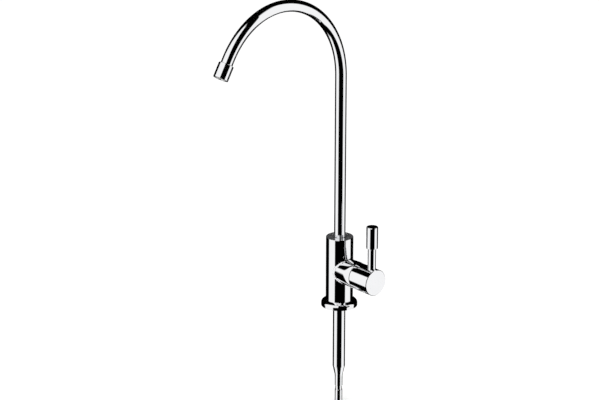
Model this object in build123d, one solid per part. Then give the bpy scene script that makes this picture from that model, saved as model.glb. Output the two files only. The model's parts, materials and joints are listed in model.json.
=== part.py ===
from build123d import *
import os
from math import cos, radians, sin

# A drinking water faucet for a sink deck: a swivelling gooseneck tube on a slim round body, a side
# valve with a quarter-turn knob and lever, a round base flange and a plain inlet shank below the deck.
# Millimetres, +Z up. The origin is on the shank's axis, in the plane of the deck. The valve barrel
# points along +X, and the spout reaches towards -Y, turned a little towards +X.

# Fits
SEAT_GAP = 0.02        # radial gap drawn in screwed, pressed and brazed joints
RUN_GAP = 0.05         # radial gap of parts that turn in one another
SEAL_GAP = 0.01        # an O-ring is drawn squeezed, this far off both walls

# Spout tube and outlet
TUBE_R = 5.0
TUBE_WALL = 0.8
ARCH_CENTRE_Z = 208.5
ARCH_R = 69.5
ARCH_SWEEP = 148.5     # degrees of arc from the upright riser
SPOUT_RUN = 4.8        # straight tube between the arch and the outlet sleeve
SPOUT_SWIVEL = 5.0     # degrees from -Y towards +X
SLEEVE_R = 6.3
SLEEVE_LEN = 12.5
SLEEVE_LAP = 6.2       # how deep the tube sits in the sleeve
SLEEVE_LIP = 0.8       # thickness of the lip that holds the outlet insert
SLEEVE_LIP_R = 4.3
OUTLET_WASHER_T = 1.2
JET_R = 0.5
JET_RINGS = ((0.0, 1), (1.6, 6), (3.2, 12))   # ring radius and number of jets

# Body
BODY_R = 12.0
BODY_TOP_Z = 64.0
EDGE_BREAK = 0.4
VALVE_Z = 34.2         # height of the valve barrel's axis
BRANCH_R = 11.6
BRANCH_X = 24.6        # open end of the branch
INLET_X = -4.0
INLET_R = 2.2
SEAT_HOLE_R = 3.0
OUTLET_X = 4.0
OUTLET_R = 2.0

# Spout socket in the top of the body
SOCKET_R = 7.0
SOCKET_FLOOR_Z = 46.0
SOCKET_STEP_Z = 56.0
BUSH_R = 8.5
BUSH_SINK = 0.1        # top of the bush below the top of the body
THRUST_T = 0.5
SHOULDER_T = 2.0
SHOULDER_R = 7.8
SHOULDER_PLAY = 0.1
SPOUT_GROOVE_R = 5.9
SPOUT_GROOVE_W = 2.0
SPOUT_GROOVE_OFFSETS = (1.6, 5.6)   # from the ferrule's foot to each groove
FERRULE_FOOT_GAP = 0.4

# Base flange and gasket
FLANGE_R = 16.0
FLANGE_H = 6.0         # at the foot of the body
FLANGE_TOP_R = 12.2    # upper end of the cone
FLANGE_RIM_H = 4.0     # lower end of the cone, above the plain rim
FLANGE_ROUND = 2.4
FLANGE_HUB_R = 8.0
GASKET_R = 14.2
GASKET_T = 2.0

# Shank below the deck and its spigot in the body
SHANK_R = 5.55
SHANK_LEN = 58.5
SHANK_BORE_R = 2.2
CONE_LEN = 9.0
CONE_ROUND = 16.0      # hollow round between the cone and the stem
STEM_R = 3.45
STEM_LEN = 10.2
WAIST_R = 2.95
WAIST_LEN = 3.9
TIP_R = 3.4
TIP_LEN = 13.0
TIP_CHAMFER = 0.5
SPIGOT_R = 5.0
SPIGOT_LEN = 11.0      # screwed length in the body
NOSE_R = 4.4
NOSE_LEN = 5.0
NOSE_GROOVE_R = 3.5
NOSE_GROOVE_W = 1.8
INLET_CHAMBER = 1.5    # space above the shank's nose

# Valve cartridge, in the order that it stands from its seat outwards
SEAT_X = 0.5
SEAT_SEAL_T = 2.4
SEAT_SEAL_R = 4.0
SEAT_SEAL_PROUD = 0.4
DISC_T = 2.5
PORT_R = 1.8
PORT_RIM_R = 5.2
PORT_SWEEP = 70.0
DRIVER_T = 1.5
STOP_T = 1.5
STOP_R = 5.1
STOP_SWEEP = 40.0
STOP_PLAY = 2.0
STOP_START = 45.0
HEAD_PLAY = 0.1
CAVITY_R = 6.6
HOUSING_R = 7.4
VALVE_BORE_R = 8.5
LAND_LEN = 6.0
LAND_GROOVE_R = 7.5
LAND_GROOVE_W = 2.0
NECK_R = 6.0
NECK_LEN = 5.0
EAR_W = 3.0
WINDOW_SWEEP = 80.0
WINDOW_MARGIN = 0.2
PRONG_W = 1.6
PRONG_L = 2.0
PRONG_X = 4.2
PRONG_H = 1.0
MOUTH_R = 9.2
NUT_SINK = 0.6
NUT_SLOT_W = 3.0
NUT_SLOT_DEPTH = 1.5
HANDLE_TURN = 90.0

# Spindle
SPINDLE_R = 3.5
SPINDLE_GROOVE_R = 2.7
SPINDLE_GROOVE_W = 1.6
SPINDLE_GROOVE_OFFSETS = (2.0, 5.4)   # from the inner end of the guide bore to each groove
SPINDLE_END_X = 38.0
SPINDLE_FLAT = 2.8     # from the axis to the flat
CLIP_T = 0.6
CLIP_R = 4.6
CLIP_GROOVE_R = 3.0
CLIP_PLAY = 0.2
CLIP_GAP = 60.0        # degrees of the clip's opening

# Knob and lever
KNOB_R = 11.6
KNOB_SEAM = 0.25
KNOB_FACE_X = 47.3
KNOB_WALL = 2.0
KNOB_FRONT_T = 2.5
KNOB_EDGE = 0.35
HUB_R = 6.2
HUB_X = 27.0
HUB_BLIND = 0.5
LEVER_X = 41.75
LEVER_STEM_R = 3.6
LEVER_SINK = 1.2
LEVER_TENON_R = 2.5
LEVER_TENON_LEN = 6.0
LEVER_BOSS_R = 4.2
GRIP_Z = 64.5
GRIP_R = 5.1
GRIP_LEN = 19.5
GRIP_ROUND = 0.9
GRIP_TENON_LEN = 8.0
GRIP_BORE_END = 1.0
GRUB_X = 33.0
GRUB_R = 2.0
GRUB_SINK = 0.5
GRUB_BOSS_R = 3.4
GRUB_KEY_AF = 2.0
GRUB_KEY_DEPTH = 2.5

# Stations worked out from the sizes above
SOCKET_WASHER_Z = SOCKET_STEP_Z + THRUST_T
SHOULDER_TOP_Z = SOCKET_WASHER_Z + SHOULDER_T
BUSH_FOOT_Z = SHOULDER_TOP_Z + SHOULDER_PLAY
FERRULE_FOOT_Z = SOCKET_FLOOR_Z + FERRULE_FOOT_GAP
SPIGOT_TOP_Z = FLANGE_H + SPIGOT_LEN
NOSE_TOP_Z = SPIGOT_TOP_Z + NOSE_LEN
DISC_X = SEAT_X + SEAT_SEAL_T
MOVING_X = DISC_X + DISC_T
DRIVER_X = MOVING_X + DISC_T
STOP_X = DRIVER_X + DRIVER_T
GUIDE_X = STOP_X + STOP_T + HEAD_PLAY
LAND_END_X = GUIDE_X + LAND_LEN
NECK_END_X = LAND_END_X + NECK_LEN
CLIP_X = NECK_END_X + CLIP_PLAY
KNOB_X = BRANCH_X + KNOB_SEAM
HOUSING_X = SEAT_X + SEAT_SEAL_PROUD
LEVER_FOOT_Z = VALVE_Z + KNOB_R - LEVER_SINK
OVERCUT = 1.0          # how far a cutting tool starts outside the metal

BARREL = Pos(0, 0, VALVE_Z) * Rot(0, 90, 0)
SPOUT_TURN = Rot(0, 0, SPOUT_SWIVEL - 90)


def turned(outline, rounds=None):
    """Solid of revolution about Z from (radius, height) points, some of its corners rounded."""
    rounds = rounds or {}
    points = [(radius, 0, height) for radius, height in outline]
    radii = [rounds.get(corner, 0) for corner in range(len(points))]
    if any(radii):
        edge = FilletPolyline(*points, radius=radii, close=True)
    else:
        edge = Polyline(*points, close=True)
    return revolve(make_face(edge), Axis.Z)


def rod(radius, start, end):
    """Round rod on the Z axis between two heights."""
    return turned([(0, start), (radius, start), (radius, end), (0, end)])


def ring(inner, outer, start, end):
    """Plain ring on the Z axis between two heights."""
    return turned([(inner, start), (outer, start), (outer, end), (inner, end)])


def pie(radius, start, sweep, height):
    """Slice of a round plate, standing on the XY plane; angles in degrees."""
    arc = CenterArc((0, 0), radius, start, sweep)
    outline = arc + Line(arc @ 1, (0, 0)) + Line((0, 0), arc @ 0)
    return extrude(make_face(outline), height, dir=(0, 0, 1))


def o_ring(groove_r, wall_r, middle):
    """O-ring squeezed between a groove's floor and the wall around it."""
    cord_r = (wall_r - groove_r) / 2 - SEAL_GAP
    return Pos(0, 0, middle) * Torus((wall_r + groove_r) / 2, cord_r)


def arch_point(angle):
    """Point of the spout's centre line on the arch, in the spout's own plane."""
    turn = radians(angle)
    return Vector(ARCH_R * (1 - cos(turn)), 0, ARCH_CENTRE_Z + ARCH_R * sin(turn))


def outlet_direction():
    turn = radians(ARCH_SWEEP)
    return Vector(sin(turn), 0, cos(turn))


def outlet_place():
    """Frame at the upper end of the outlet sleeve, its Z along the flow."""
    start = arch_point(ARCH_SWEEP) + outlet_direction() * SPOUT_RUN
    return SPOUT_TURN * Plane(origin=start, x_dir=(0, 1, 0), z_dir=outlet_direction()).location


# Spout: everything here turns with the tube

def spout_tube():
    start = Vector(0, 0, FERRULE_FOOT_Z)
    end = arch_point(ARCH_SWEEP) + outlet_direction() * (SPOUT_RUN + SLEEVE_LAP)
    arch = ThreePointArc(arch_point(0), arch_point(ARCH_SWEEP / 2), arch_point(ARCH_SWEEP))
    path = Line(start, arch_point(0)) + arch + Line(arch_point(ARCH_SWEEP), end)
    outside = sweep(Plane(origin=start) * Circle(TUBE_R), path=path)
    inside = sweep(Plane(origin=start) * Circle(TUBE_R - TUBE_WALL), path=path)
    return SPOUT_TURN * (outside - inside)


def outlet_sleeve():
    bore = TUBE_R + SEAT_GAP
    lip_start = SLEEVE_LEN - SLEEVE_LIP
    outline = [(bore, 0), (SLEEVE_R, 0), (SLEEVE_R, SLEEVE_LEN), (SLEEVE_LIP_R, SLEEVE_LEN),
               (SLEEVE_LIP_R, lip_start), (bore, lip_start)]
    return outlet_place() * turned(outline, {1: EDGE_BREAK, 2: EDGE_BREAK})


def outlet_washer():
    washer = ring(TUBE_R - TUBE_WALL, TUBE_R, SLEEVE_LAP, SLEEVE_LAP + OUTLET_WASHER_T)
    return outlet_place() * washer


def outlet_insert():
    """Moulded disc with rings of small jets that straightens the flow."""
    start = SLEEVE_LAP + OUTLET_WASHER_T
    end = SLEEVE_LEN - SLEEVE_LIP
    insert = rod(TUBE_R, start, end)
    for jet_ring_r, count in JET_RINGS:
        for step in range(count):
            turn = Rot(0, 0, 360 * step / count)
            insert -= turn * Pos(jet_ring_r, 0, 0) * rod(JET_R, start - OVERCUT, end + OVERCUT)
    return outlet_place() * insert


def spout_ferrule():
    """Brass collar brazed on the foot of the tube, with a shoulder and two seal grooves."""
    bore = TUBE_R + SEAT_GAP
    outside = SOCKET_R - RUN_GAP
    ferrule = turned([(bore, FERRULE_FOOT_Z), (outside, FERRULE_FOOT_Z), (outside, SOCKET_WASHER_Z),
                      (SHOULDER_R, SOCKET_WASHER_Z), (SHOULDER_R, SHOULDER_TOP_Z),
                      (bore, SHOULDER_TOP_Z)])
    for offset in SPOUT_GROOVE_OFFSETS:
        groove_start = FERRULE_FOOT_Z + offset
        ferrule -= ring(SPOUT_GROOVE_R, SOCKET_R, groove_start, groove_start + SPOUT_GROOVE_W)
    return ferrule


def spout_seal(offset):
    return o_ring(SPOUT_GROOVE_R, SOCKET_R, FERRULE_FOOT_Z + offset + SPOUT_GROOVE_W / 2)


# Spout socket pieces that stay with the body

def spout_thrust_washer():
    return ring(SOCKET_R + RUN_GAP, SHOULDER_R, SOCKET_STEP_Z, SOCKET_WASHER_Z)


def spout_retaining_bush():
    """Threaded ring, flush in the body's top, that keeps the spout down and guides its tube."""
    return ring(TUBE_R + RUN_GAP, BUSH_R - SEAT_GAP, BUSH_FOOT_Z, BODY_TOP_Z - BUSH_SINK)


# Body, base and inlet

def faucet_body():
    """Cast and turned tee: upright barrel with a side branch, bored for spout, valve and shank."""
    column = turned([(0, FLANGE_H), (BODY_R, FLANGE_H), (BODY_R, BODY_TOP_Z), (0, BODY_TOP_Z)])
    column = chamfer(column.edges().group_by(Axis.Z)[-1], EDGE_BREAK)
    body = column + BARREL * rod(BRANCH_R, 0, BRANCH_X)
    body -= rod(SOCKET_R, SOCKET_FLOOR_Z, SOCKET_STEP_Z)
    body -= rod(BUSH_R, SOCKET_STEP_Z, BODY_TOP_Z + OVERCUT)
    body -= BARREL * rod(VALVE_BORE_R, SEAT_X, LAND_END_X)
    body -= BARREL * rod(MOUTH_R, LAND_END_X, BRANCH_X + OVERCUT)
    body -= BARREL * rod(SEAT_HOLE_R, INLET_X, SEAT_X)
    body -= Pos(OUTLET_X, 0, 0) * rod(OUTLET_R, VALVE_Z, SOCKET_FLOOR_Z)
    body -= Pos(INLET_X, 0, 0) * rod(INLET_R, NOSE_TOP_Z, VALVE_Z)
    body -= rod(SPIGOT_R + SEAT_GAP, FLANGE_H - OVERCUT, SPIGOT_TOP_Z)
    body -= rod(NOSE_R + SEAT_GAP, SPIGOT_TOP_Z, NOSE_TOP_Z + INLET_CHAMBER)
    return body


def base_flange():
    """Turned cover ring between the body and the deck: a plain rim with a coned top, recessed below
    for its gasket."""
    bore = SPIGOT_R + SEAT_GAP
    return turned([(bore, 0), (FLANGE_HUB_R, 0), (FLANGE_HUB_R, GASKET_T), (GASKET_R, GASKET_T),
                   (GASKET_R, 0), (FLANGE_R, 0), (FLANGE_R, FLANGE_RIM_H), (FLANGE_TOP_R, FLANGE_H),
                   (bore, FLANGE_H)], {6: FLANGE_ROUND})


def base_gasket():
    return ring(FLANGE_HUB_R + SEAT_GAP, GASKET_R - SEAT_GAP, 0, GASKET_T)


def shank():
    """Inlet pipe: plain below the deck, a coned end with a waisted tip, a screwed spigot above."""
    cone_z = -SHANK_LEN
    stem_z = cone_z - CONE_LEN
    waist_z = stem_z - STEM_LEN
    tip_z = waist_z - WAIST_LEN
    end_z = tip_z - TIP_LEN
    outline = [(SHANK_BORE_R, end_z), (TIP_R - TIP_CHAMFER, end_z), (TIP_R, end_z + TIP_CHAMFER),
               (TIP_R, tip_z), (WAIST_R, tip_z), (WAIST_R, waist_z), (STEM_R, waist_z),
               (STEM_R, stem_z), (SHANK_R, cone_z), (SHANK_R, 0), (SPIGOT_R, 0),
               (SPIGOT_R, SPIGOT_TOP_Z), (NOSE_R, SPIGOT_TOP_Z), (NOSE_R, NOSE_TOP_Z),
               (SHANK_BORE_R, NOSE_TOP_Z)]
    groove_z = SPIGOT_TOP_Z + (NOSE_LEN - NOSE_GROOVE_W) / 2
    groove = ring(NOSE_GROOVE_R, NOSE_R + OVERCUT, groove_z, groove_z + NOSE_GROOVE_W)
    return turned(outline, {7: CONE_ROUND}) - groove


def shank_seal():
    return o_ring(NOSE_GROOVE_R, NOSE_R + SEAT_GAP, SPIGOT_TOP_Z + NOSE_LEN / 2)


# Valve cartridge; angles about the barrel start at its underside

def cartridge_housing():
    """Brass sleeve around the ceramic discs, with side windows, a sealed land and a spindle guide."""
    guide = SPINDLE_R + RUN_GAP
    housing = turned([(CAVITY_R, HOUSING_X), (HOUSING_R, HOUSING_X), (HOUSING_R, GUIDE_X),
                      (VALVE_BORE_R - SEAT_GAP, GUIDE_X), (VALVE_BORE_R - SEAT_GAP, LAND_END_X),
                      (NECK_R, LAND_END_X), (NECK_R, NECK_END_X), (guide, NECK_END_X),
                      (guide, GUIDE_X), (CAVITY_R, GUIDE_X)])
    groove_x = GUIDE_X + (LAND_LEN - LAND_GROOVE_W) / 2
    housing -= ring(LAND_GROOVE_R, VALVE_BORE_R, groove_x, groove_x + LAND_GROOVE_W)
    window_x = MOVING_X + WINDOW_MARGIN
    window_len = DISC_T - 2 * WINDOW_MARGIN
    for middle in (0, 180):
        window = pie(VALVE_BORE_R, middle - WINDOW_SWEEP / 2, WINDOW_SWEEP, window_len)
        housing -= Pos(0, 0, window_x) * window
    ear_slot = Box(2 * VALVE_BORE_R, EAR_W, MOVING_X - HOUSING_X + OVERCUT)
    housing -= Pos(0, 0, (MOVING_X + HOUSING_X - OVERCUT) / 2) * Rot(0, 0, 90) * ear_slot
    stop_start = STOP_START - STOP_SWEEP / 2 - STOP_PLAY
    stop_travel = HANDLE_TURN + STOP_SWEEP + 2 * STOP_PLAY
    stop = ring(STOP_R + RUN_GAP, CAVITY_R, STOP_X + HEAD_PLAY, GUIDE_X)
    pocket = Pos(0, 0, STOP_X) * pie(VALVE_BORE_R, stop_start, stop_travel, GUIDE_X - STOP_X)
    return BARREL * (housing + (stop - pocket))


def cartridge_seat_seal():
    return BARREL * ring(SEAT_SEAL_R, CAVITY_R - SEAT_GAP, SEAT_X, DISC_X)


def cartridge_land_seal():
    return BARREL * o_ring(LAND_GROOVE_R, VALVE_BORE_R, GUIDE_X + LAND_LEN / 2)


def fixed_disc():
    """Ceramic disc with two ports and two ears that key it in the housing."""
    disc = rod(CAVITY_R - RUN_GAP, 0, DISC_T)
    ears = Box(2 * HOUSING_R, EAR_W - 2 * SEAT_GAP, DISC_T)
    disc += (Pos(0, 0, DISC_T / 2) * Rot(0, 0, 90) * ears) & rod(HOUSING_R, 0, DISC_T)
    ports = ring(PORT_R, PORT_RIM_R, 0, DISC_T)
    for middle in (0, 180):
        disc -= ports & pie(CAVITY_R, middle - PORT_SWEEP / 2, PORT_SWEEP, DISC_T)
    return BARREL * Pos(0, 0, DISC_X) * disc


def drive_prongs(clearance):
    """The spindle's two drive prongs, or their slots in the moving disc when given a clearance."""
    prong = Box(PRONG_L + 2 * clearance, PRONG_W + 2 * clearance, PRONG_H + clearance)
    middle = DRIVER_X - (PRONG_H + clearance) / 2
    return Pos(PRONG_X, 0, middle) * prong + Pos(-PRONG_X, 0, middle) * prong


def moving_disc():
    """Ceramic disc, cut away in two slices that line up with the fixed ports when the tap is open."""
    disc = rod(CAVITY_R - 2 * RUN_GAP, 0, DISC_T)
    slices = ring(PORT_R, CAVITY_R, 0, DISC_T)
    for middle in (90, 270):
        disc -= slices & pie(CAVITY_R, middle - PORT_SWEEP / 2, PORT_SWEEP, DISC_T)
    return BARREL * (Pos(0, 0, MOVING_X) * disc - drive_prongs(SEAT_GAP))


def spindle():
    """Brass spindle: drive plate with prongs and stop lug, grooved stem and a flatted outer end."""
    plate = rod(CAVITY_R - RUN_GAP, DRIVER_X, STOP_X)
    hub = rod(STOP_R, STOP_X, STOP_X + STOP_T)
    lug = pie(CAVITY_R - RUN_GAP, STOP_START - STOP_SWEEP / 2, STOP_SWEEP, STOP_T - HEAD_PLAY)
    stem = rod(SPINDLE_R, STOP_X + STOP_T, SPINDLE_END_X)
    solid = plate + hub + Pos(0, 0, STOP_X + HEAD_PLAY) * lug + stem + drive_prongs(0)
    for offset in SPINDLE_GROOVE_OFFSETS:
        groove_x = GUIDE_X + offset
        solid -= ring(SPINDLE_GROOVE_R, SPINDLE_R + OVERCUT, groove_x, groove_x + SPINDLE_GROOVE_W)
    solid -= ring(CLIP_GROOVE_R, SPINDLE_R + OVERCUT, CLIP_X, CLIP_X + CLIP_T)
    flat_start = CLIP_X + 2 * CLIP_T
    flat_len = SPINDLE_END_X - flat_start + OVERCUT
    flat_cut = Box(SPINDLE_R, 2 * SPINDLE_R + OVERCUT, flat_len)
    solid -= Pos(SPINDLE_FLAT + SPINDLE_R / 2, 0, flat_start + flat_len / 2) * flat_cut
    return BARREL * solid


def spindle_seal(offset):
    middle = GUIDE_X + offset + SPINDLE_GROOVE_W / 2
    return BARREL * o_ring(SPINDLE_GROOVE_R, SPINDLE_R + RUN_GAP, middle)


def spindle_clip():
    """Spring clip, open on one side, that keeps the spindle in its guide."""
    clip = ring(CLIP_GROOVE_R + SEAT_GAP, CLIP_R, 0, CLIP_T)
    return BARREL * Pos(0, 0, CLIP_X) * (clip - pie(CLIP_R + OVERCUT, -CLIP_GAP / 2, CLIP_GAP, CLIP_T))


def gland_nut():
    """Threaded ring in the branch's mouth that holds the cartridge in, slotted for its key."""
    end_x = BRANCH_X - NUT_SINK
    nut = ring(NECK_R + SEAT_GAP, MOUTH_R - SEAT_GAP, LAND_END_X, end_x)
    slot = Box(2 * MOUTH_R + OVERCUT, NUT_SLOT_W, 2 * NUT_SLOT_DEPTH)
    return BARREL * (nut - Pos(0, 0, end_x) * slot)


# Knob and lever: everything here turns with the spindle

def knob():
    """Turned barrel knob, hollow behind its face, with a bored hub and bosses for lever and screw."""
    inside_x = KNOB_FACE_X - KNOB_FRONT_T
    inside_r = KNOB_R - KNOB_WALL
    shell = turned([(0, inside_x), (inside_r, inside_x), (inside_r, KNOB_X), (KNOB_R, KNOB_X),
                    (KNOB_R, KNOB_FACE_X), (0, KNOB_FACE_X)], {4: KNOB_EDGE})
    boss_end = KNOB_R - KNOB_WALL / 2
    lever_axis = Pos(LEVER_X, 0, VALVE_Z)
    grub_axis = Pos(GRUB_X, 0, VALVE_Z)
    solid = BARREL * (shell + rod(HUB_R, HUB_X, inside_x))
    solid += lever_axis * rod(LEVER_BOSS_R, 0, boss_end)
    solid += grub_axis * rod(GRUB_BOSS_R, -boss_end, 0)
    bore = rod(SPINDLE_R + SEAT_GAP, HUB_X - OVERCUT, SPINDLE_END_X + HUB_BLIND)
    bore_len = SPINDLE_END_X + HUB_BLIND - HUB_X + 2 * OVERCUT
    flat_side = Box(SPINDLE_R, 2 * SPINDLE_R + OVERCUT, bore_len)
    flat_x = SPINDLE_FLAT + SEAT_GAP + SPINDLE_R / 2
    bore -= Pos(flat_x, 0, HUB_X - OVERCUT + bore_len / 2) * flat_side
    solid -= BARREL * bore
    counterbore = rod(LEVER_STEM_R + SEAT_GAP, LEVER_FOOT_Z - VALVE_Z, KNOB_R + OVERCUT)
    tenon_hole = rod(LEVER_TENON_R + SEAT_GAP, LEVER_FOOT_Z - VALVE_Z - LEVER_TENON_LEN, KNOB_R)
    solid -= lever_axis * (counterbore + tenon_hole)
    return solid - grub_axis * rod(GRUB_R + SEAT_GAP, -KNOB_R - OVERCUT, -SPINDLE_FLAT)


def knob_grub_screw():
    """Headless screw under the knob that bears on the spindle's flat, with a hexagon socket."""
    head_z = -KNOB_R + GRUB_SINK
    screw = rod(GRUB_R, head_z, -SPINDLE_FLAT)
    key = extrude(RegularPolygon(GRUB_KEY_AF / 2, 6, major_radius=False), GRUB_KEY_DEPTH)
    return Pos(GRUB_X, 0, VALVE_Z) * (screw - Pos(0, 0, head_z) * key)


def lever_stem():
    """Round stem with a threaded tenon at each end, for the knob and for the grip."""
    tenon_foot = LEVER_FOOT_Z - LEVER_TENON_LEN
    stem = turned([(0, tenon_foot), (LEVER_TENON_R, tenon_foot), (LEVER_TENON_R, LEVER_FOOT_Z),
                   (LEVER_STEM_R, LEVER_FOOT_Z), (LEVER_STEM_R, GRIP_Z), (LEVER_TENON_R, GRIP_Z),
                   (LEVER_TENON_R, GRIP_Z + GRIP_TENON_LEN), (0, GRIP_Z + GRIP_TENON_LEN)])
    return Pos(LEVER_X, 0, 0) * stem


def lever_grip():
    """Thicker turned grip screwed on the stem, its top edge rounded."""
    bore = LEVER_TENON_R + SEAT_GAP
    bore_end = GRIP_Z + GRIP_TENON_LEN + GRIP_BORE_END
    top = GRIP_Z + GRIP_LEN
    grip = turned([(bore, GRIP_Z), (GRIP_R, GRIP_Z), (GRIP_R, top), (0, top), (0, bore_end),
                   (bore, bore_end)], {1: EDGE_BREAK, 2: GRIP_ROUND})
    return Pos(LEVER_X, 0, 0) * grip


NODES = {
    "spout_tube": spout_tube(),
    "outlet_sleeve": outlet_sleeve(),
    "outlet_washer": outlet_washer(),
    "outlet_insert": outlet_insert(),
    "spout_ferrule": spout_ferrule(),
    "spout_seal_lower": spout_seal(SPOUT_GROOVE_OFFSETS[0]),
    "spout_seal_upper": spout_seal(SPOUT_GROOVE_OFFSETS[1]),
    "spout_thrust_washer": spout_thrust_washer(),
    "spout_retaining_bush": spout_retaining_bush(),
    "faucet_body": faucet_body(),
    "base_flange": base_flange(),
    "base_gasket": base_gasket(),
    "shank": shank(),
    "shank_seal": shank_seal(),
    "cartridge_housing": cartridge_housing(),
    "cartridge_seat_seal": cartridge_seat_seal(),
    "cartridge_land_seal": cartridge_land_seal(),
    "fixed_disc": fixed_disc(),
    "moving_disc": moving_disc(),
    "spindle": spindle(),
    "spindle_seal_inner": spindle_seal(SPINDLE_GROOVE_OFFSETS[0]),
    "spindle_seal_outer": spindle_seal(SPINDLE_GROOVE_OFFSETS[1]),
    "spindle_clip": spindle_clip(),
    "gland_nut": gland_nut(),
    "knob": knob(),
    "knob_grub_screw": knob_grub_screw(),
    "lever_stem": lever_stem(),
    "lever_grip": lever_grip(),
}

os.makedirs("parts", exist_ok=True)
for name, solid in NODES.items():
    export_step(solid, f"parts/{name}.step")
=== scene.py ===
import json
import math

import bmesh
import bpy
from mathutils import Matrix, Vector
from mathutils.geometry import interpolate_bezier


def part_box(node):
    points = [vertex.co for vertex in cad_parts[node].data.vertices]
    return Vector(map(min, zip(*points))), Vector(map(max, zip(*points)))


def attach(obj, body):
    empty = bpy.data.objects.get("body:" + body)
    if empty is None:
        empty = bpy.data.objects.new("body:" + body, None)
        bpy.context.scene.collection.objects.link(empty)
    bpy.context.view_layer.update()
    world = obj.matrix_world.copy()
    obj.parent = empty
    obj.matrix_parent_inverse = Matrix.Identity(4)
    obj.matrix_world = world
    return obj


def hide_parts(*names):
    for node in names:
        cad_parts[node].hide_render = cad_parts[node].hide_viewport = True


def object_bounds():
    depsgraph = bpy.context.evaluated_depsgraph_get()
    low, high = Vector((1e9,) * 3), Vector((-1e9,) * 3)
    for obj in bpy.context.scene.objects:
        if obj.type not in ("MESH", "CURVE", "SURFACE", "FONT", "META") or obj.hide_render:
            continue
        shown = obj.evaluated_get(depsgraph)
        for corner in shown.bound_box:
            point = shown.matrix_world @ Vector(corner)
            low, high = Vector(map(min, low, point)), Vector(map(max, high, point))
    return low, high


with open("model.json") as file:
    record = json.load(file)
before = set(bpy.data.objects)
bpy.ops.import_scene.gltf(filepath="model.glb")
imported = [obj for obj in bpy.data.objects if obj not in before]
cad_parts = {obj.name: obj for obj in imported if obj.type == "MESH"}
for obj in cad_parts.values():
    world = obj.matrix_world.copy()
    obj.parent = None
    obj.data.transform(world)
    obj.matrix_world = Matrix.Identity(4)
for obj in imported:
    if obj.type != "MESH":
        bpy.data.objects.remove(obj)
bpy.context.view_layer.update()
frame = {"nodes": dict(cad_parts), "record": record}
bpy.ops.object.select_all(action="DESELECT")

# Base flange: the round cover ring that stands on the deck. It is turned from brass with a plain rim
# and a coned top, recessed below for the gasket, polished and chrome plated.
FLANGE_SIDES = 160
FLANGE_RIM_Z = 0.004
FLANGE_TOP_R = 0.0122
FLANGE_ROUND = 0.00146
FLANGE_HEEL = 0.00025
FLANGE_HUB_R = 0.008
SPIGOT_BORE_R = 0.00502
TURNED_EDGE = 0.00015
EDGE_STEPS = 3         # facets across a broken edge, a small round and a large round
SMALL_STEPS = 4
ROUND_STEPS = 8
NEAR = 0.00002         # places this close together are the same
SMOOTH_ANGLE = 32      # degrees between two faces, above which their edge stays sharp


def turned(name, stations, sides):
    """A piece as a lathe makes it: a circle about Z, drawn on through (radius, height) stations."""
    bpy.ops.mesh.primitive_circle_add(vertices=sides, radius=stations[0][0])
    piece = bpy.context.object
    piece.name = name
    bpy.ops.object.mode_set(mode="EDIT")
    bpy.ops.mesh.select_all(action="SELECT")
    bpy.ops.transform.translate(value=(0, 0, stations[0][1]))
    for (radius, height), (new_radius, new_height) in zip(stations, stations[1:]):
        bpy.ops.mesh.extrude_edges_move(TRANSFORM_OT_translate={"value": (0, 0, new_height - height)})
        growth = new_radius / radius
        bpy.ops.transform.resize(value=(growth, growth, 1), center_override=(0, 0, new_height))
    bpy.ops.object.mode_set(mode="OBJECT")
    return piece


def select(piece, kind, test):
    """Edit mode on the piece, with only the edges or faces selected that pass the test."""
    bpy.context.view_layer.objects.active = piece
    bpy.ops.object.mode_set(mode="EDIT")
    bpy.ops.mesh.select_mode(type=kind)
    bpy.ops.mesh.select_all(action="DESELECT")
    shape = bmesh.from_edit_mesh(piece.data)
    parts = {"EDGE": shape.edges, "FACE": shape.faces}[kind]
    for part in parts:
        if test(part):
            part.select = True
    shape.select_flush_mode()
    bmesh.update_edit_mesh(piece.data)


def at_ring(radius, height):
    """Test for the edges of one turned corner, given by its radius and height."""
    def test(edge):
        return all(abs(v.co.z - height) < NEAR and abs(v.co.xy.length - radius) < NEAR
                   for v in edge.verts)
    return test


def round_corner(piece, radius, height, size, steps=SMALL_STEPS):
    """Rounds one turned corner of a piece that still stands on its Z axis. One step is a chamfer."""
    select(piece, "EDGE", at_ring(radius, height))
    bpy.ops.mesh.bevel(offset=size, segments=steps, profile=0.5, affect="EDGES")
    bpy.ops.object.mode_set(mode="OBJECT")


def join_ends(piece):
    """Closes a ring's section between its first and its last circle."""
    select(piece, "EDGE", lambda edge: edge.is_boundary)
    bpy.ops.mesh.bridge_edge_loops()
    bpy.ops.object.mode_set(mode="OBJECT")


def cap_ends(piece):
    """Closes each open end with one flat face."""
    select(piece, "EDGE", lambda edge: edge.is_boundary)
    bpy.ops.mesh.edge_face_add()
    bpy.ops.object.mode_set(mode="OBJECT")


def apply_modifier(piece, kind, **settings):
    """Gives the piece a modifier with these settings and applies it."""
    modifier = piece.modifiers.new(kind.lower(), kind)
    for name, value in settings.items():
        setattr(modifier, name, value)
    bpy.context.view_layer.objects.active = piece
    bpy.ops.object.modifier_apply(modifier=modifier.name)


def finish_piece(piece, body, material, slot, *stands_for):
    """Normals out, smooth but for the true corners, then tied to its body, with the CAD parts that it
    stands for hidden.
    """
    bpy.ops.object.select_all(action="DESELECT")
    piece.select_set(True)
    bpy.context.view_layer.objects.active = piece
    bpy.ops.object.transform_apply(location=True, rotation=True, scale=True)
    select(piece, "FACE", lambda face: True)
    bpy.ops.mesh.normals_make_consistent(inside=False)
    bpy.ops.object.mode_set(mode="OBJECT")
    bpy.ops.object.shade_smooth_by_angle(angle=math.radians(SMOOTH_ANGLE))
    apply_modifier(piece, "WEIGHTED_NORMAL", keep_sharp=True)
    piece.data.materials.clear()
    piece.data.materials.append(material)
    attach(piece, body)
    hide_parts(*stands_for)
    piece.select_set(False)


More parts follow.
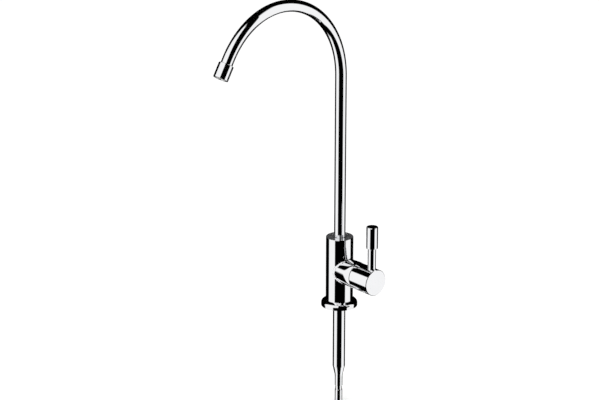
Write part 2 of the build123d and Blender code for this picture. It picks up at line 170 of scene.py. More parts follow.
def linear(hex_colour):
    """Linear RGBA of an sRGB hex colour."""
    parts = [int(hex_colour[i:i + 2], 16) / 255 for i in (1, 3, 5)]
    return [c / 12.92 if c <= 0.04045 else ((c + 0.055) / 1.055) ** 2.4 for c in parts] + [1]


def start_material(name):
    """A new material, with its node tree and its shader."""
    material = bpy.data.materials.new(name)
    material.use_nodes = True
    return material, material.node_tree, material.node_tree.nodes["Principled BSDF"]


def add_node(tree, kind, values=(), links=(), **settings):
    """A node with its settings, its sockets' values and the links into its sockets."""
    node = tree.nodes.new(kind)
    for name, value in settings.items():
        setattr(node, name, value)
    for socket, value in values:
        node.inputs[socket].default_value = value
    for socket, source in links:
        tree.links.new(source, node.inputs[socket])
    return node


def connect_finish(tree, shader, colour, gloss, relief=None):
    """Leads a finish's colour, roughness and fine relief into its shader."""
    tree.links.new(colour.outputs["Result"], shader.inputs["Base Color"])
    tree.links.new(gloss.outputs["Result"], shader.inputs["Roughness"])
    if relief:
        tree.links.new(relief.outputs["Normal"], shader.inputs["Normal"])


# Chrome plate on polished brass: a mirror with a slight cool tint. Polishing leaves a very low
# waviness about a centimetre long, and handling leaves a faint haze that only softens highlights.
POLISH_WAVE = 0.012
HAZE_GRAIN = 0.006
chrome, tree, shader = start_material("polished_chrome_plate")
place = add_node(tree, "ShaderNodeTexCoord").outputs["Object"]
wave = add_node(tree, "ShaderNodeTexNoise", [("Scale", 1 / POLISH_WAVE), ("Detail", 1)],
                [("Vector", place)])
haze = add_node(tree, "ShaderNodeTexNoise", [("Scale", 1 / HAZE_GRAIN), ("Detail", 4)],
                [("Vector", place)])
tint = add_node(tree, "ShaderNodeMix", [("A", linear("#F0F1F3")), ("B", linear("#F6F6F7"))],
                [("Factor", haze.outputs["Fac"])], data_type="RGBA")
gloss = add_node(tree, "ShaderNodeMapRange", [("To Min", 0.02), ("To Max", 0.05)],
                 [("Value", haze.outputs["Fac"])])
swell = add_node(tree, "ShaderNodeBump", [("Strength", 0.02), ("Distance", 0.0004)],
                 [("Height", wave.outputs["Fac"])])
shader.inputs["Metallic"].default_value = 1
connect_finish(tree, shader, tint, gloss, swell)

flange_low, flange_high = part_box("base_flange")
gasket_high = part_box("base_gasket")[1]
flange_r = flange_high.x
flange = turned("deck_flange", [
    (SPIGOT_BORE_R, flange_low.z), (FLANGE_HUB_R, flange_low.z), (FLANGE_HUB_R, gasket_high.z),
    (gasket_high.x, gasket_high.z), (gasket_high.x, flange_low.z), (flange_r, flange_low.z),
    (flange_r, FLANGE_RIM_Z), (FLANGE_TOP_R, flange_high.z), (SPIGOT_BORE_R, flange_high.z)],
    FLANGE_SIDES)
join_ends(flange)
round_corner(flange, flange_r, FLANGE_RIM_Z, FLANGE_ROUND, ROUND_STEPS)
round_corner(flange, flange_r, flange_low.z, FLANGE_HEEL)
round_corner(flange, FLANGE_TOP_R, flange_high.z, TURNED_EDGE, EDGE_STEPS)
finish_piece(flange, "body", chrome, "chrome", "base_flange")

# Base gasket and shank seal: nitrile rubber, moulded black, the gasket in the flange's recess and the
# O-ring in the groove of the shank's nose. Its satin skin has a faint grey bloom in patches and a fine
# grain, drawn at 0.2 mm so that it can be seen.
BLOOM_PATCH = 0.0015
SKIN_GRAIN = 0.0002


def finish_node(name, material):
    """Gives a part that keeps the frame's own shape its real finish."""
    for material_slot in frame["nodes"][name].material_slots:
        material_slot.material = material


rubber, tree, shader = start_material("moulded_nitrile_rubber")
place = add_node(tree, "ShaderNodeTexCoord").outputs["Object"]
bloom = add_node(tree, "ShaderNodeTexNoise", [("Scale", 1 / BLOOM_PATCH), ("Detail", 3)],
                 [("Vector", place)])
skin = add_node(tree, "ShaderNodeTexNoise", [("Scale", 1 / SKIN_GRAIN), ("Detail", 2)],
                [("Vector", place)])
black = add_node(tree, "ShaderNodeMix", [("A", linear("#1A1B1C")), ("B", linear("#2A2B2D"))],
                 [("Factor", bloom.outputs["Fac"])], data_type="RGBA")
satin = add_node(tree, "ShaderNodeMapRange", [("To Min", 0.48), ("To Max", 0.66)],
                 [("Value", bloom.outputs["Fac"])])
grain = add_node(tree, "ShaderNodeBump", [("Strength", 0.3), ("Distance", 0.00002)],
                 [("Height", skin.outputs["Fac"])])
shader.inputs["IOR"].default_value = 1.52
connect_finish(tree, shader, black, satin, grain)
for name in ("base_gasket", "shank_seal"):
    finish_node(name, rubber)

# Shank: the inlet pipe below the deck, turned from brass and chrome plated. Its lower end is coned
# down to a stem with a waist and a plain tip, which takes the supply fitting.
SHANK_SIDES = 96
SHANK_LEN = 0.0585
CONE_LEN = 0.009
CONE_FOOT_SIZE = 0.0018
CONE_TOP_SIZE = 0.0003
STEM_R = 0.00345
STEM_LEN = 0.0102
WAIST_R = 0.00295
WAIST_LEN = 0.0039
TIP_R = 0.0034
TIP_CHAMFER = 0.0005
SHANK_BORE_R = 0.0022
SPIGOT_R = 0.005
SPIGOT_LEN = 0.011
NOSE_R = 0.0044
NOSE_GROOVE_R = 0.0035
NOSE_GROOVE_W = 0.0018

shank_low, shank_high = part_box("shank")
stem_z = -SHANK_LEN - CONE_LEN
waist_z = stem_z - STEM_LEN
tip_z = waist_z - WAIST_LEN
spigot_z = flange_high.z + SPIGOT_LEN
nose_middle = (spigot_z + shank_high.z) / 2
shank = turned("inlet_shank", [
    (SHANK_BORE_R, shank_low.z), (TIP_R - TIP_CHAMFER, shank_low.z), (TIP_R, shank_low.z + TIP_CHAMFER),
    (TIP_R, tip_z), (WAIST_R, tip_z), (WAIST_R, waist_z), (STEM_R, waist_z), (STEM_R, stem_z),
    (shank_high.x, -SHANK_LEN), (shank_high.x, 0), (SPIGOT_R, 0), (SPIGOT_R, spigot_z),
    (NOSE_R, spigot_z), (NOSE_R, nose_middle - NOSE_GROOVE_W / 2),
    (NOSE_GROOVE_R, nose_middle - NOSE_GROOVE_W / 2), (NOSE_GROOVE_R, nose_middle + NOSE_GROOVE_W / 2),
    (NOSE_R, nose_middle + NOSE_GROOVE_W / 2), (NOSE_R, shank_high.z),
    (SHANK_BORE_R, shank_high.z)], SHANK_SIDES)
join_ends(shank)
round_corner(shank, STEM_R, stem_z, CONE_FOOT_SIZE, ROUND_STEPS)
for edge_r, edge_z in ((TIP_R, tip_z), (STEM_R, waist_z), (SHANK_BORE_R, shank_low.z)):
    round_corner(shank, edge_r, edge_z, TURNED_EDGE, EDGE_STEPS)
round_corner(shank, shank_high.x, -SHANK_LEN, CONE_TOP_SIZE)
finish_piece(shank, "body", chrome, "chrome", "shank")

# Body: a tee, cast in brass, turned, polished and chrome plated. The upright barrel takes the spout and
# the shank, and the side branch takes the valve. Buffing by hand has left the branch slimmer at its
# root and rolled over at its mouth, and has rounded the corner between branch and barrel.
BODY_SIDES = 192
BODY_EDGE = 0.0004
SOCKET_R = 0.007
SOCKET_FLOOR_Z = 0.046
SOCKET_STEP_Z = 0.056
BUSH_SEAT_R = 0.0085
BRANCH_R = 0.0116
BRANCH_SIDES = 192
BRANCH_ROOT_R = 0.01074
BRANCH_ROLL = (        # (radius, x) of the slight cone's end, and of the rolled curve's two handles
    (0.01175, 0.0175), (0.01195, 0.021), (0.01196, 0.0225))
BRANCH_MOUTH_R = 0.01111
BUFFED_OFF = 0.0009    # no place of the branch is farther than this from its plain radius
CONE_RINGS = 8
ROLL_RINGS = 15
TEE_ROUND = 0.0012
TEE_ROUND_STEPS = 5
TEE_FOLD = 8           # degrees, the least fold that counts as the corner
TEE_NEAR = 0.00003     # no place of the corner is farther than this from the barrel's radius
TEE_RINGS = 11         # rings of the barrel on each side of the branch's axis, for an even corner
TEE_SPACING = 0.0015
VALVE_BORE_R = 0.0085
SEAT_X = 0.0005
MOUTH_R = 0.0092
INLET_X = -0.004
INLET_R = 0.0022
SEAT_HOLE_R = 0.003
OUTLET_X = 0.004
OUTLET_R = 0.002
OVERCUT = 0.001
BORE_SIDES = 96


def lay_on_valve(piece):
    """Turns a piece made about Z down to the valve's axis, along X."""
    piece.rotation_euler = (0, math.radians(90), 0)
    piece.location = (0, 0, valve_z)


def solid_rod(name, stations, sides=BORE_SIDES):
    """A turned piece with a flat face on each end."""
    piece = turned(name, stations, sides)
    cap_ends(piece)
    return piece


def join_solid(piece, other, operation):
    """Welds another solid to the piece, or cuts it out of it, and removes the other."""
    apply_modifier(piece, "BOOLEAN", operation=operation, object=other, solver="EXACT")
    bpy.data.objects.remove(other, do_unlink=True)


body_low, body_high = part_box("faucet_body")
nut_low, nut_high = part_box("gland_nut")
valve_z = (nut_low.z + nut_high.z) / 2
body_r = -body_low.x
tee_rings = [valve_z + step * TEE_SPACING for step in range(-TEE_RINGS, TEE_RINGS + 1)]
barrel_rings = [body_low.z, *tee_rings, body_high.z]
body = solid_rod("tee_body", [(body_r, ring_z) for ring_z in barrel_rings], BODY_SIDES)
round_corner(body, body_r, body_high.z, BODY_EDGE)
roll_points = [Vector(point) for point in (*BRANCH_ROLL, (BRANCH_MOUTH_R, body_high.x))]
roll = interpolate_bezier(*roll_points, ROLL_RINGS)
root = Vector((BRANCH_ROOT_R, 0))
cone = [root.lerp(roll[0], step / CONE_RINGS) for step in range(CONE_RINGS)]
branch = solid_rod("branch", cone + roll, BRANCH_SIDES)
lay_on_valve(branch)
join_solid(body, branch, "UNION")


def at_tee(edge):
    """True where the branch's surface meets the barrel's."""
    for vertex in edge.verts:
        x, y, z = vertex.co
        off_barrel = abs(math.hypot(x, y) - body_r)
        off_branch = abs(math.hypot(y, z - valve_z) - BRANCH_R)
        if x < 0 or off_barrel > TEE_NEAR or off_branch > BUFFED_OFF:
            return False
    return len(edge.link_faces) == 2 and edge.calc_face_angle() > math.radians(TEE_FOLD)


select(body, "EDGE", at_tee)
bpy.ops.mesh.bevel(offset=TEE_ROUND, segments=TEE_ROUND_STEPS, profile=0.5, affect="EDGES",
                   clamp_overlap=False)
bpy.ops.object.mode_set(mode="OBJECT")
valve_bore = solid_rod("valve_bore", [
    (SEAT_HOLE_R, INLET_X), (SEAT_HOLE_R, SEAT_X), (VALVE_BORE_R, SEAT_X), (VALVE_BORE_R, nut_low.x),
    (MOUTH_R, nut_low.x), (MOUTH_R, body_high.x + OVERCUT)])
lay_on_valve(valve_bore)
socket = solid_rod("socket", [
    (SOCKET_R, SOCKET_FLOOR_Z), (SOCKET_R, SOCKET_STEP_Z), (BUSH_SEAT_R, SOCKET_STEP_Z),
    (BUSH_SEAT_R, body_high.z + OVERCUT)])
spigot_bore = solid_rod("spigot_bore", [
    (SPIGOT_BORE_R, body_low.z - OVERCUT), (SPIGOT_BORE_R, spigot_z), (NOSE_R, spigot_z),
    (NOSE_R, shank_high.z + OVERCUT)])
inlet = solid_rod("inlet", [(INLET_R, shank_high.z), (INLET_R, valve_z)])
inlet.location.x = INLET_X
outlet = solid_rod("outlet", [(OUTLET_R, valve_z), (OUTLET_R, SOCKET_FLOOR_Z + OVERCUT)])
outlet.location.x = OUTLET_X
for cutter in (valve_bore, socket, spigot_bore, inlet, outlet):
    join_solid(body, cutter, "DIFFERENCE")
round_corner(body, BUSH_SEAT_R, body_high.z, TURNED_EDGE, EDGE_STEPS)
finish_piece(body, "body", chrome, "chrome", "faucet_body")

# The body's top face is faced on the lathe and plated but hardly polished: it still mirrors the tube's
# foot, under a grey haze of fine scratches, with the tool's rings 0.3 mm apart.
FACING_PITCH = 0.0003
WAVE_RADIANS = 20      # the wave texture turns this far per unit of length
SCRATCH_HAZE = 0.12    # the share of the light that the scratches scatter
LEVEL = 0.999          # the least upward part of a level face's normal
satin_chrome, tree, shader = start_material("faced_satin_chrome")
place = add_node(tree, "ShaderNodeTexCoord").outputs["Object"]
rings = add_node(tree, "ShaderNodeTexWave", [
    ("Scale", 2 * math.pi / WAVE_RADIANS / FACING_PITCH), ("Distortion", 0.3), ("Detail", 1)],
    [("Vector", place)], wave_type="RINGS", rings_direction="Z")
cloud = add_node(tree, "ShaderNodeTexNoise", [("Scale", 1 / HAZE_GRAIN), ("Detail", 2)],
                 [("Vector", place)])
tone = add_node(tree, "ShaderNodeMix", [("A", linear("#EEEFF1")), ("B", linear("#DEDFE2"))],
                [("Factor", cloud.outputs["Fac"])], data_type="RGBA")
satin = add_node(tree, "ShaderNodeMapRange", [("To Min", 0.08), ("To Max", 0.16)],
                 [("Value", cloud.outputs["Fac"])])
groove = add_node(tree, "ShaderNodeBump", [("Strength", 0.15), ("Distance", 0.00001)],
                  [("Height", rings.outputs["Fac"])])
shader.inputs["Metallic"].default_value = 1 - SCRATCH_HAZE
connect_finish(tree, shader, tone, satin, groove)
body.data.materials.append(satin_chrome)
for face in body.data.polygons:
    if face.normal.z > LEVEL and abs(face.center.z - body_high.z) < NEAR:
        face.material_index = 1

# Spout ferrule: a brass collar turned on a lathe and brazed on the tube's foot, with a shoulder and
# two grooves for its O-rings. The tool leaves fine lines round it, 0.25 mm apart.
TURNING_PITCH = 0.00025
TARNISH_PATCH = 0.004


def turned_brass(name, axis):
    """Machined brass with the tool's lines round the given axis, and warmer where it has tarnished."""
    material, tree, shader = start_material(name)
    place = add_node(tree, "ShaderNodeTexCoord").outputs["Object"]
    lines = add_node(tree, "ShaderNodeTexWave", [
        ("Scale", 2 * math.pi / WAVE_RADIANS / TURNING_PITCH), ("Distortion", 0.4), ("Detail", 1)],
        [("Vector", place)], wave_type="BANDS", bands_direction=axis)
    tarnish = add_node(tree, "ShaderNodeTexNoise", [("Scale", 1 / TARNISH_PATCH), ("Detail", 3)],
                       [("Vector", place)])
    tone = add_node(tree, "ShaderNodeMix", [("A", linear("#DDB866")), ("B", linear("#C29A50"))],
                    [("Factor", tarnish.outputs["Fac"])], data_type="RGBA")
    cut = add_node(tree, "ShaderNodeMapRange", [("To Min", 0.22), ("To Max", 0.34)],
                   [("Value", lines.outputs["Fac"])])
    ridge = add_node(tree, "ShaderNodeBump", [("Strength", 0.25), ("Distance", 0.00001)],
                     [("Height", lines.outputs["Fac"])])
    shader.inputs["Metallic"].default_value = 1
    connect_finish(tree, shader, tone, cut, ridge)
    return material


finish_node("spout_ferrule", turned_brass("turned_brass_upright", "Z"))
for name in ("spout_seal_lower", "spout_seal_upper"):
    finish_node(name, rubber)

# Thrust washer: natural white acetal, moulded, which the ferrule's shoulder turns on. It has a soft
# sheen and the faint cloudiness of a moulded part.
CLOUD_PATCH = 0.002
acetal, tree, shader = start_material("moulded_white_acetal")
place = add_node(tree, "ShaderNodeTexCoord").outputs["Object"]
cloud = add_node(tree, "ShaderNodeTexNoise", [("Scale", 1 / CLOUD_PATCH), ("Detail", 2)],
                 [("Vector", place)])
white = add_node(tree, "ShaderNodeMix", [("A", linear("#ECEBE6")), ("B", linear("#DFDED8"))],
                 [("Factor", cloud.outputs["Fac"])], data_type="RGBA")
sheen = add_node(tree, "ShaderNodeMapRange", [("To Min", 0.32), ("To Max", 0.46)],
                 [("Value", cloud.outputs["Fac"])])
shader.inputs["IOR"].default_value = 1.48
connect_finish(tree, shader, white, sheen)
finish_node("spout_thrust_washer", acetal)

# Retaining bush: the chrome plated brass ring screwed flush into the body's top, which keeps the
# spout down and guides its tube. Its bore is countersunk, which leaves a dark line round the tube.
TUBE_GUIDE_R = 0.00505
BUSH_COUNTERSINK = 0.0008
bush_low, bush_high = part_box("spout_retaining_bush")
bush = turned("retaining_bush", [
    (TUBE_GUIDE_R, bush_low.z), (bush_high.x, bush_low.z), (bush_high.x, bush_high.z),
    (TUBE_GUIDE_R + BUSH_COUNTERSINK, bush_high.z), (TUBE_GUIDE_R, bush_high.z - BUSH_COUNTERSINK)],
    BORE_SIDES)
join_ends(bush)
round_corner(bush, bush_high.x, bush_high.z, TURNED_EDGE, EDGE_STEPS)
finish_piece(bush, "body", satin_chrome, "chrome", "spout_retaining_bush")

# Gooseneck: a 10 mm brass tube with a 0.8 mm wall, bent round a former in one arc and chrome
# plated. It is brazed into its ferrule below and into the outlet sleeve at its end.
TUBE_SIDES = 96
TUBE_R = 0.005
TUBE_WALL = 0.0008
ARCH_R = 0.0695
ARCH_STEPS = 120
RISER_STEPS = 12
SLEEVE_LEN = 0.0125
SLEEVE_LAP = 0.0062
WELD = 0.000001        # rings of the tube that lie this close together are one

tube_low, tube_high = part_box("spout_tube")
outlet_mount = [m for m in frame["record"]["mounts"] if m["name"] == "outlet"][0]
flow = Vector(outlet_mount["axis"]).normalized()
mouth = Vector(outlet_mount["pos_m"])
reach = Vector((flow.x, flow.y, 0)).normalized()
arch_z = tube_high.z - TUBE_R - ARCH_R
sweep = Vector((0, 0, 1)).angle(flow)
arch_end = reach * ARCH_R * (1 - math.cos(sweep)) + Vector((0, 0, arch_z + ARCH_R * math.sin(sweep)))
sleeve_start = mouth - flow * SLEEVE_LEN
tube_end = sleeve_start + flow * SLEEVE_LAP
bpy.ops.mesh.primitive_circle_add(vertices=TUBE_SIDES, radius=TUBE_R)
tube = bpy.context.object
tube.name = "gooseneck_tube"
bpy.ops.object.mode_set(mode="EDIT")
bpy.ops.mesh.select_all(action="SELECT")
bpy.ops.transform.translate(value=(0, 0, tube_low.z))
riser_step = (arch_z - tube_low.z) / RISER_STEPS
for step in range(RISER_STEPS):
    bpy.ops.mesh.extrude_edges_move(TRANSFORM_OT_translate={"value": (0, 0, riser_step)})
arch_centre = reach * ARCH_R + Vector((0, 0, arch_z))
side = Vector((0, 0, 1)).cross(reach)
bpy.ops.mesh.spin(steps=ARCH_STEPS, angle=-sweep, center=arch_centre, axis=side)
bpy.ops.mesh.extrude_edges_move(TRANSFORM_OT_translate={"value": tube_end - arch_end})
bpy.ops.mesh.select_all(action="SELECT")
bpy.ops.mesh.remove_doubles(threshold=WELD)
bpy.ops.mesh.normals_make_consistent(inside=False)
bpy.ops.object.mode_set(mode="OBJECT")
apply_modifier(tube, "SOLIDIFY", thickness=TUBE_WALL, offset=-1)
finish_piece(tube, "spout", chrome, "chrome", "spout_tube")

# Outlet sleeve: a short turned and chrome plated brass sleeve, brazed over the tube's end. Its lip
# holds the washer and the jet insert.
SLEEVE_R = 0.0063
SLEEVE_BORE_R = 0.00502
SLEEVE_LIP_R = 0.0043
SLEEVE_LIP = 0.0008
SLEEVE_EDGE = 0.0004
sleeve = turned("outlet_sleeve_turned", [
    (SLEEVE_BORE_R, 0), (SLEEVE_R, 0), (SLEEVE_R, SLEEVE_LEN), (SLEEVE_LIP_R, SLEEVE_LEN),
    (SLEEVE_LIP_R, SLEEVE_LEN - SLEEVE_LIP), (SLEEVE_BORE_R, SLEEVE_LEN - SLEEVE_LIP)], BORE_SIDES)
join_ends(sleeve)
for edge_z in (0, SLEEVE_LEN):
    round_corner(sleeve, SLEEVE_R, edge_z, SLEEVE_EDGE)
round_corner(sleeve, SLEEVE_LIP_R, SLEEVE_LEN, TURNED_EDGE, EDGE_STEPS)
sleeve.rotation_euler = flow.to_track_quat("Z", "Y").to_euler()
sleeve.location = sleeve_start
finish_piece(sleeve, "spout", chrome, "chrome", "outlet_sleeve")

# Outlet washer and jet insert: a rubber ring on the tube's end, and a moulded acetal disc with fine
# jets that straightens the water, both held by the sleeve's lip.
finish_node("outlet_washer", rubber)
finish_node("outlet_insert", acetal)

# Valve cartridge: turned brass housing, spindle and gland nut in the branch, with rubber seals
# between them. The lathe's lines run round the branch's axis.
valve_brass = turned_brass("turned_brass_valve", "X")
for name in ("cartridge_housing", "spindle", "gland_nut"):
    finish_node(name, valve_brass)
for name in ("cartridge_seat_seal", "cartridge_land_seal", "spindle_seal_inner", "spindle_seal_outer"):
    finish_node(name, rubber)

# Ceramic discs: sintered alumina, cream white, their faces lapped flat so that they seal on each
# other. The grain shows only as a very fine speckle, drawn at 0.1 mm so that it can be seen.
SPECKLE = 0.0001
alumina, tree, shader = start_material("lapped_alumina_ceramic")
place = add_node(tree, "ShaderNodeTexCoord").outputs["Object"]
speckle = add_node(tree, "ShaderNodeTexNoise", [("Scale", 1 / SPECKLE), ("Detail", 2)],
                   [("Vector", place)])
cream = add_node(tree, "ShaderNodeMix", [("A", linear("#F2EDE1")), ("B", linear("#E2DACA"))],
                 [("Factor", speckle.outputs["Fac"])], data_type="RGBA")
lapped = add_node(tree, "ShaderNodeMapRange", [("To Min", 0.12), ("To Max", 0.22)],
                  [("Value", speckle.outputs["Fac"])])
shader.inputs["IOR"].default_value = 1.76
connect_finish(tree, shader, cream, lapped)
for name in ("fixed_disc", "moving_disc"):
    finish_node(name, alumina)

# Spindle clip and grub screw: stainless steel, the clip stamped from sheet and tumbled, the screw
# turned with a hexagon socket. Both have a dull grey shine with a fine scuffed grain.
SCUFF = 0.0004
steel, tree, shader = start_material("tumbled_stainless_steel")
place = add_node(tree, "ShaderNodeTexCoord").outputs["Object"]
scuff = add_node(tree, "ShaderNodeTexNoise", [("Scale", 1 / SCUFF), ("Detail", 4)],
                 [("Vector", place)])
grey = add_node(tree, "ShaderNodeMix", [("A", linear("#B4B5B8")), ("B", linear("#98999C"))],
                [("Factor", scuff.outputs["Fac"])], data_type="RGBA")
dull = add_node(tree, "ShaderNodeMapRange", [("To Min", 0.25), ("To Max", 0.42)],
                [("Value", scuff.outputs["Fac"])])
dent = add_node(tree, "ShaderNodeBump", [("Strength", 0.2), ("Distance", 0.00001)],
                [("Height", scuff.outputs["Fac"])])
shader.inputs["Metallic"].default_value = 1
connect_finish(tree, shader, grey, dull, dent)
for name in ("spindle_clip", "knob_grub_screw"):
    finish_node(name, steel)

# Knob: a barrel turned from brass, hollow behind its flat face, with a hub for the spindle and
# bosses for the lever and the grub screw. Polished and chrome plated, with a chamfer round its face
# and its back edge eased over a quarter of an ellipse.
KNOB_SIDES = 192
KNOB_CHAMFER = 0.00045
KNOB_HEEL_LEN = 0.0012
KNOB_HEEL_DROP = 0.00035
KNOB_HEEL_STEPS = 4
KNOB_WALL = 0.002
KNOB_FRONT = 0.0025
HUB_R = 0.0062
HUB_X = 0.027
SPINDLE_HOLE_R = 0.00352
SPINDLE_HOLE_X = 0.0385
LEVER_BOSS_R = 0.0042
LEVER_HOLE_R = 0.00362
LEVER_FOOT_Z = 0.0446
TENON_LEN = 0.006
TENON_HOLE_R = 0.00252
GRUB_BOSS_R = 0.0034
GRUB_HOLE_R = 0.00202

knob_low, knob_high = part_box("knob")
grub_low, grub_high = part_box("knob_grub_screw")
stem_low, stem_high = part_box("lever_stem")
knob_r = knob_high.z - valve_z
inside_r = knob_r - KNOB_WALL
inside_x = knob_high.x - KNOB_FRONT
lever_x = (stem_low.x + stem_high.x) / 2
grub_x = (grub_low.x + grub_high.x) / 2
heel = []
for step in range(KNOB_HEEL_STEPS + 1):
    angle = math.radians(90) * step / KNOB_HEEL_STEPS
    heel.append((knob_r - KNOB_HEEL_DROP * (1 - math.sin(angle)),
                 knob_low.x + KNOB_HEEL_LEN * (1 - math.cos(angle))))
knob = solid_rod("barrel_knob", [
    (HUB_R, HUB_X), (HUB_R, inside_x), (inside_r, inside_x), (inside_r, knob_low.x),
    *heel, (knob_r, knob_high.x)], KNOB_SIDES)
round_corner(knob, knob_r, knob_high.x, KNOB_CHAMFER, steps=1)
lay_on_valve(knob)
boss_top = valve_z + knob_r - KNOB_WALL / 2
lever_boss = solid_rod("lever_boss", [(LEVER_BOSS_R, valve_z), (LEVER_BOSS_R, boss_top)])
lever_boss.location.x = lever_x
grub_boss = solid_rod("grub_boss", [(GRUB_BOSS_R, 2 * valve_z - boss_top), (GRUB_BOSS_R, valve_z)])
grub_boss.location.x = grub_x
spindle_hole = solid_rod("spindle_hole", [
    (SPINDLE_HOLE_R, HUB_X - OVERCUT), (SPINDLE_HOLE_R, SPINDLE_HOLE_X)])
lay_on_valve(spindle_hole)
lever_hole = solid_rod("lever_hole", [
    (TENON_HOLE_R, LEVER_FOOT_Z - TENON_LEN), (TENON_HOLE_R, LEVER_FOOT_Z),
    (LEVER_HOLE_R, LEVER_FOOT_Z), (LEVER_HOLE_R, knob_high.z + OVERCUT)])
lever_hole.location.x = lever_x
grub_hole = solid_rod("grub_hole", [(GRUB_HOLE_R, knob_low.z - OVERCUT), (GRUB_HOLE_R, grub_high.z)])
grub_hole.location.x = grub_x
for boss in (lever_boss, grub_boss):
    join_solid(knob, boss, "UNION")
for cutter in (spindle_hole, lever_hole, grub_hole):
    join_solid(knob, cutter, "DIFFERENCE")
finish_piece(knob, "handle", chrome, "chrome", "knob")

# Lever stem: a turned and chrome plated rod with a threaded tenon at each end, screwed into the
# knob below and into the grip above.
TENON_R = 0.0025
GRIP_TENON_LEN = 0.008
grip_low, grip_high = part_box("lever_grip")
stem_r = stem_high.y
stem = solid_rod("lever_rod", [
    (TENON_R, LEVER_FOOT_Z - TENON_LEN), (TENON_R, LEVER_FOOT_Z), (stem_r, LEVER_FOOT_Z),
    (stem_r, grip_low.z), (TENON_R, grip_low.z), (TENON_R, grip_low.z + GRIP_TENON_LEN)])
stem.location.x = lever_x
finish_piece(stem, "handle", chrome, "chrome", "lever_stem")

# Lever grip: a thicker sleeve with a closed top, turned from brass, chrome plated and screwed on the
# stem. Its top edge is rounded for the finger.
GRIP_ROUND = 0.0009
GRIP_HEEL = 0.0004
GRIP_BORE_END = 0.001
grip_r = grip_high.y
grip = solid_rod("lever_grip_turned", [
    (TENON_HOLE_R, grip_low.z + GRIP_TENON_LEN + GRIP_BORE_END), (TENON_HOLE_R, grip_low.z),
    (grip_r, grip_low.z), (grip_r, grip_high.z)])
round_corner(grip, grip_r, grip_high.z, GRIP_ROUND, ROUND_STEPS)
round_corner(grip, grip_r, grip_low.z, GRIP_HEEL)
grip.location.x = lever_x
finish_piece(grip, "handle", chrome, "chrome", "lever_grip")

# Floor: a matt white table under the tip of the shank. To the eye it is as white as the backdrop,
# but for the faucet's soft shadow, and the chrome mirrors the studio's panels instead of it.
FLOOR_SIZE = 12.0
FLOOR_DROP = 0.0001
FLOOR_GLOW = 0.25
floor_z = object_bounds()[0][2] - FLOOR_DROP
bpy.ops.mesh.primitive_plane_add(size=FLOOR_SIZE, location=(0, 0, floor_z))
floor = bpy.context.object
floor.name = "floor"
floor.visible_glossy = False
matt_white, tree, shader = start_material("matt_white_table")
ray = add_node(tree, "ShaderNodeLightPath")
glow = add_node(tree, "ShaderNodeMath", [(1, FLOOR_GLOW)], [(0, ray.outputs["Is Camera Ray"])],
                operation="MULTIPLY")
tree.links.new(glow.outputs["Value"], shader.inputs["Emission Strength"])
shader.inputs["Base Color"].default_value = linear("#F4F4F4")
shader.inputs["Emission Color"].default_value = (1, 1, 1, 1)
shader.inputs["Roughness"].default_value = 1
shader.inputs["Specular IOR Level"].default_value = 0
floor.data.materials.append(matt_white)

# Studio light: a broad soft lamp above the photographer's left, in an even white room. The chrome
# mirrors a tall white panel on each side of the faucet, with black felt in front, behind and above.
CAMERA_AZIMUTH = 49.965
LAMP_PLACE = Vector((0.2, -1.2, 1.5))
LAMP_AIM = Vector((0, 0, 0.1))
LAMP_SIZE = 1.2
LAMP_WATTS = 6
ROOM_LIGHT = 0.85

# Angles are in degrees, counted from the side that the photograph shows. Each upright edge has a
# (height, angle) pair below and above, and leans over between them.
PANELS = (
    {"side": -1, "inner": ((-10, 41.3), (10, 8)), "outer": ((-10, 101), (10, 104)), "top": (82, 76)},
    {"side": 1, "inner": ((-10, 49.3), (0, 67)), "outer": ((-46, 136), (-18, 102)), "top": (62, 45)})
PANEL_FOOT = (-72, -66)
PANEL_EDGE = 2.5

bpy.ops.object.light_add(type="AREA", location=LAMP_PLACE)
lamp = bpy.context.object
lamp.name = "soft_lamp"
lamp.data.size = LAMP_SIZE
lamp.data.energy = LAMP_WATTS
lamp.rotation_euler = (LAMP_AIM - LAMP_PLACE).to_track_quat("-Z", "Y").to_euler()
lamp.visible_glossy = False

world = bpy.data.worlds.new("studio")
bpy.context.scene.world = world
world.use_nodes = True
tree = world.node_tree
tree.nodes.clear()
turn = math.radians(CAMERA_AZIMUTH)
front = (math.sin(turn), -math.cos(turn), 0)
right = (math.cos(turn), math.sin(turn), 0)
look = add_node(tree, "ShaderNodeTexCoord").outputs["Generated"]
ahead = add_node(tree, "ShaderNodeVectorMath", [(1, front)], [(0, look)], operation="DOT_PRODUCT")
aside = add_node(tree, "ShaderNodeVectorMath", [(1, right)], [(0, look)], operation="DOT_PRODUCT")
azimuth = add_node(tree, "ShaderNodeMath", (),
                   [(0, aside.outputs["Value"]), (1, ahead.outputs["Value"])], operation="ARCTAN2")
height = add_node(tree, "ShaderNodeSeparateXYZ", (), [("Vector", look)])
rise = add_node(tree, "ShaderNodeMath", (), [(0, height.outputs["Z"])], operation="ARCSINE")
mirrored = add_node(tree, "ShaderNodeMath", [(0, 0), (1, 0)], operation="ADD")
half_edge = PANEL_EDGE / 2
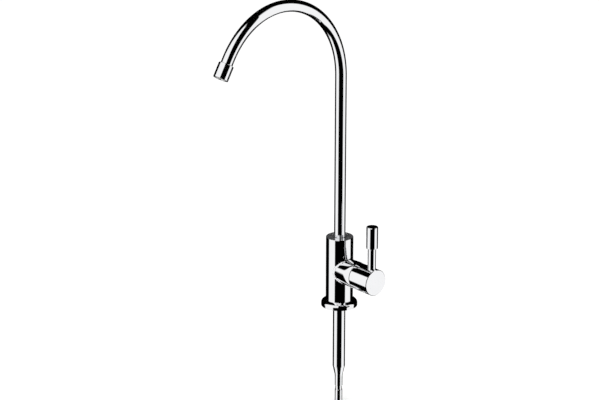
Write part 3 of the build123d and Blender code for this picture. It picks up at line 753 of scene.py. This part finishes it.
for panel in PANELS:
    off = add_node(tree, "ShaderNodeMath", [(1, panel["side"])], [(0, azimuth.outputs["Value"])],
                   operation="MULTIPLY")
    lit = add_node(tree, "ShaderNodeMath", [(0, 1), (1, 1)], operation="MULTIPLY")
    past = []
    for key in ("inner", "outer"):
        (low_rise, low_angle), (high_rise, high_angle) = panel[key]
        bound = add_node(tree, "ShaderNodeMapRange", [
            ("From Min", math.radians(low_rise)), ("From Max", math.radians(high_rise)),
            ("To Min", math.radians(low_angle)), ("To Max", math.radians(high_angle))],
            [("Value", rise.outputs["Value"])], interpolation_type="SMOOTHSTEP")
        past.append(add_node(tree, "ShaderNodeMath", (), [
            (0, off.outputs["Value"]), (1, bound.outputs["Result"])], operation="SUBTRACT"))
    for measured, dark, white in (
            (past[0], -half_edge, half_edge),
            (past[1], half_edge, -half_edge),
            (rise, *panel["top"]),
            (rise, *PANEL_FOOT)):
        edge = add_node(tree, "ShaderNodeMapRange", [
            ("From Min", math.radians(dark)), ("From Max", math.radians(white))],
            [("Value", measured.outputs["Value"])], interpolation_type="SMOOTHSTEP")
        lit = add_node(tree, "ShaderNodeMath", (),
                       [(0, lit.outputs["Value"]), (1, edge.outputs["Result"])], operation="MULTIPLY")
    mirrored = add_node(tree, "ShaderNodeMath", (),
                        [(0, mirrored.outputs["Value"]), (1, lit.outputs["Value"])], operation="ADD")
ray = add_node(tree, "ShaderNodeLightPath")
sharp = add_node(tree, "ShaderNodeMath", (),
                 [(0, ray.outputs["Is Glossy Ray"]), (1, ray.outputs["Is Transmission Ray"])],
                 operation="MAXIMUM")
seen = add_node(tree, "ShaderNodeMix", [("A", ROOM_LIGHT)],
                [("Factor", sharp.outputs["Value"]), ("B", mirrored.outputs["Value"])],
                data_type="FLOAT")
shown = add_node(tree, "ShaderNodeMix", [("B", 1.0)],
                 [("Factor", ray.outputs["Is Camera Ray"]), ("A", seen.outputs["Result"])],
                 data_type="FLOAT")
room = add_node(tree, "ShaderNodeBackground", [("Color", (1, 1, 1, 1))],
                [("Strength", shown.outputs["Result"])])
add_node(tree, "ShaderNodeOutputWorld", (), [("Surface", room.outputs["Background"])])

# Camera: the photograph's view, slightly from above, towards the knob's side of the faucet. Its focal
# length is in pixels of the photograph, which is 600 pixels wide.
CAMERA_RISE = 18.38
CAMERA_DISTANCE = 1.484
CAMERA_AIM = Vector((-0.01478, -0.03285, 0.1005))
FOCAL_PIXELS = 1724.6
FRAME_WIDTH_PIXELS = 600
SENSOR_WIDTH = 36
climb = math.radians(CAMERA_RISE)
away = Vector(front) * math.cos(climb) + Vector((0, 0, math.sin(climb)))
bpy.ops.object.camera_add(location=CAMERA_AIM + away * CAMERA_DISTANCE)
camera = bpy.context.object
camera.rotation_euler = away.to_track_quat("Z", "Y").to_euler()
camera.data.sensor_width = SENSOR_WIDTH
camera.data.lens = SENSOR_WIDTH * FOCAL_PIXELS / FRAME_WIDTH_PIXELS
bpy.context.scene.camera = camera
bpy.context.scene.view_settings.view_transform = "Standard"
